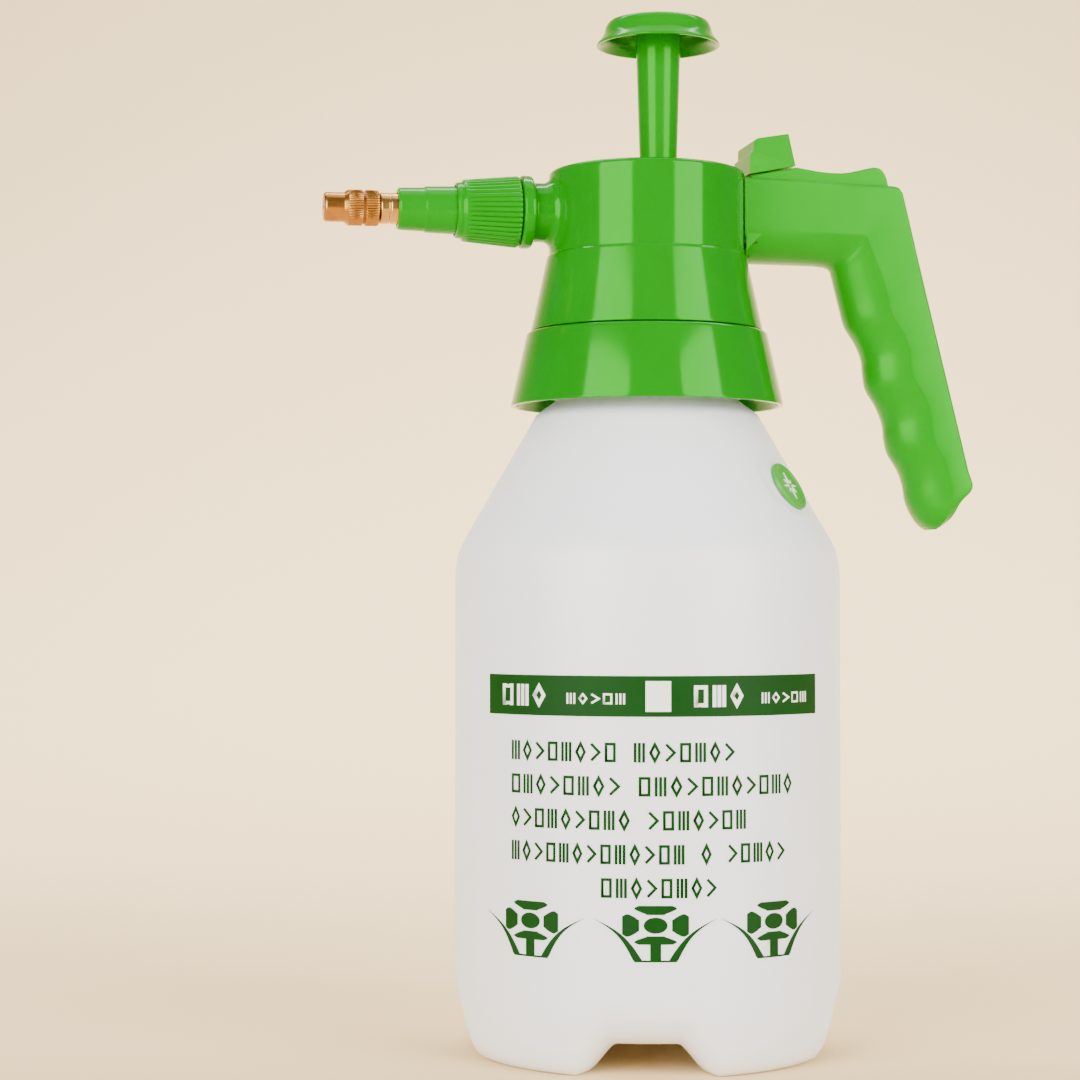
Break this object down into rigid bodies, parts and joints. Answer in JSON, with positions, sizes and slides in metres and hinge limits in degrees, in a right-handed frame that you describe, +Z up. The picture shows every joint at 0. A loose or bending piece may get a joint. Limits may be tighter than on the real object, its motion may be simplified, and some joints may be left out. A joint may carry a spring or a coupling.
{
  "type": "pump sprayer",
  "caption": "Hand pump pressure sprayer: white bottle, green pump head with plunger, pistol handle with thumb lever, and adjustable brass nozzle.",
  "frame": {"origin": "centre of the bottle's base, on the plane of its feet", "axes": "+Z up along the bottle, nozzle along -X, handle along +X"},
  "size_m": [0.1942, 0.114, 0.3044],
  "materials": {
    "white_bottle": "translucent blow-moulded polyethylene",
    "green_head": "glossy moulded green plastic",
    "green_handle": "glossy lighter green plastic",
    "brass_fitting": "turned and knurled coppery brass",
    "grey_inner": "matt grey moulded plastic",
    "clear_tube": "natural polyethylene",
    "black_seal": "black rubber",
    "steel_hardware": "plain steel"
  },
  "bodies": {
    "sprayer": {"bottle": "white_bottle", "shoulder_badge": "green_head", "head_shell": "green_head", "pump_guide": "green_head", "nozzle_cone": "green_head", "handle_left": "green_handle", "handle_right": "green_handle", "nozzle_stem": "brass_fitting", "swirl_plug": "brass_fitting", "neck_plug": "grey_inner", "pump_cylinder": "grey_inner", "dip_filter": "grey_inner", "valve_body": "grey_inner", "dip_tube": "clear_tube", "supply_tube": "clear_tube", "delivery_tube": "clear_tube", "neck_gasket": "black_seal", "cylinder_gasket": "black_seal", "check_valve": "black_seal", "stem_seal": "black_seal", "nozzle_gasket": "black_seal", "nozzle_seal": "black_seal", "valve_spring": "steel_hardware", "lever_pin": "steel_hardware", "handle_screw_1": "steel_hardware", "handle_screw_2": "steel_hardware", "handle_screw_3": "steel_hardware", "fixing_screw_1": "steel_hardware", "fixing_screw_2": "steel_hardware"},
    "collar": {"screw_collar": "green_head"},
    "plunger": {"pump_knob": "green_head", "pump_rod": "grey_inner", "piston": "grey_inner", "piston_seal": "black_seal", "piston_nut": "grey_inner"},
    "lever": {"trigger_lever": "green_handle"},
    "lock": {"lock_slider": "green_handle"},
    "stem": {"valve_stem": "steel_hardware"},
    "nozzle_retainer": {"nozzle_nut": "green_head"},
    "spray_cap": {"nozzle_cap": "brass_fitting"}
  },
  "joints": [
    {"name": "collar_turn", "type": "hinge", "parent": "sprayer", "child": "collar", "pos_m": [0, 0, 0.2], "axis": [0, 0, 1], "range_deg": [0, 540]},
    {"name": "pump_slide", "type": "slide", "parent": "sprayer", "child": "plunger", "axis": [0, 0, 1], "range_m": [0, 0.07]},
    {"name": "trigger_press", "type": "hinge", "parent": "sprayer", "child": "lever", "pos_m": [0.0315, 0, 0.2548], "axis": [0, 1, 0], "range_deg": [0, 7], "stiffness_Nm_per_rad": 0.3, "springref_deg": -5.73},
    {"name": "lock_slide", "type": "slide", "parent": "lever", "child": "lock", "axis": [0.9808, 0, 0.1951], "range_m": [0, 0.0035]},
    {"name": "valve_travel", "type": "slide", "parent": "sprayer", "child": "stem", "axis": [0, 0, -1], "range_m": [0, 0.0016], "deforming": ["valve_spring"]},
    {"name": "nozzle_nut_turn", "type": "hinge", "parent": "sprayer", "child": "nozzle_retainer", "pos_m": [-0.048, 0, 0.2463], "axis": [-1, 0, 0], "range_deg": [0, 540]},
    {"name": "spray_cap_turn", "type": "hinge", "parent": "sprayer", "child": "spray_cap", "pos_m": [-0.088, 0, 0.2463], "axis": [-1, 0, 0], "range_deg": [0, 540]}
  ],
  "couplings": [
    {"joint": "valve_travel", "follows": "trigger_press", "m_per_rad": 0.0125}
  ]
}
